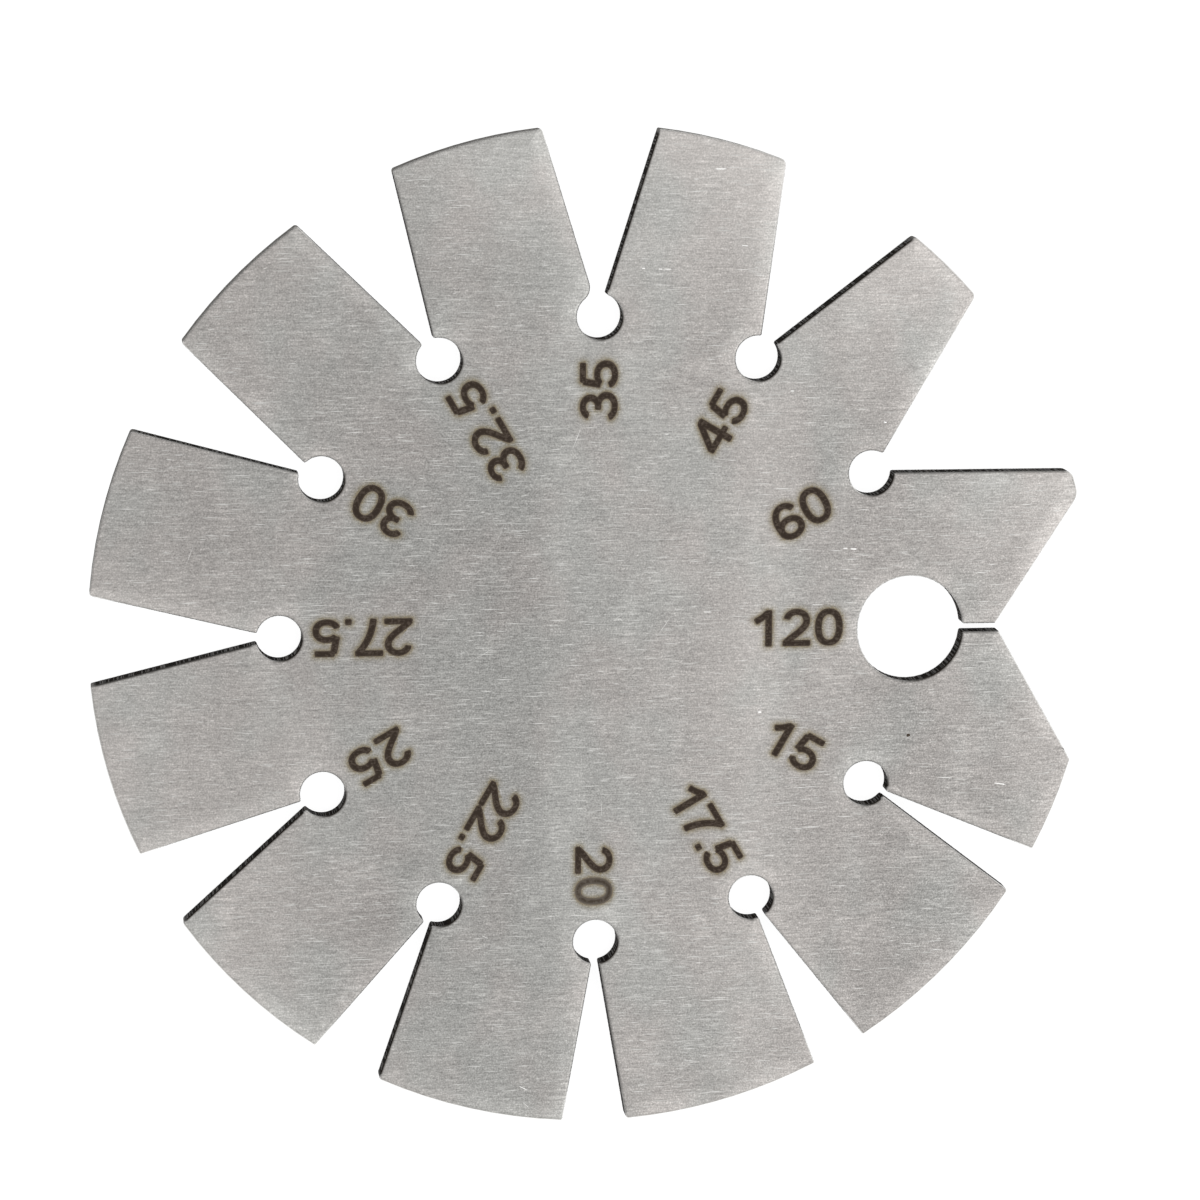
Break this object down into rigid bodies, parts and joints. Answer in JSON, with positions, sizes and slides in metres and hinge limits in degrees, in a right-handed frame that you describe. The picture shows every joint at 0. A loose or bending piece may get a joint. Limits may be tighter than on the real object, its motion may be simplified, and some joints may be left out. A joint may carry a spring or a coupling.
{
  "type": "angle gauge",
  "caption": "Flat round stainless steel angle gauge with V notches around its rim for reading the included angle of ground tips, and a hanging hole.",
  "frame": {"origin": "centre of the disc on its underside, the face opposite the marked one", "axes": "+X towards the widest notch and the hanging hole, +Y towards the third notch from it, +Z out of the marked face"},
  "size_m": [0.0587, 0.0597, 0.0012],
  "materials": {
    "brushed_stainless": "fine straight brushing along X on both faces, dark laser cut walls",
    "laser_mark": "numbers of the notches, annealed dark brown into the upper face by laser, with a faint warm edge"
  },
  "bodies": {
    "root": {"gauge_plate": "brushed_stainless"}
  },
  "joints": []
}
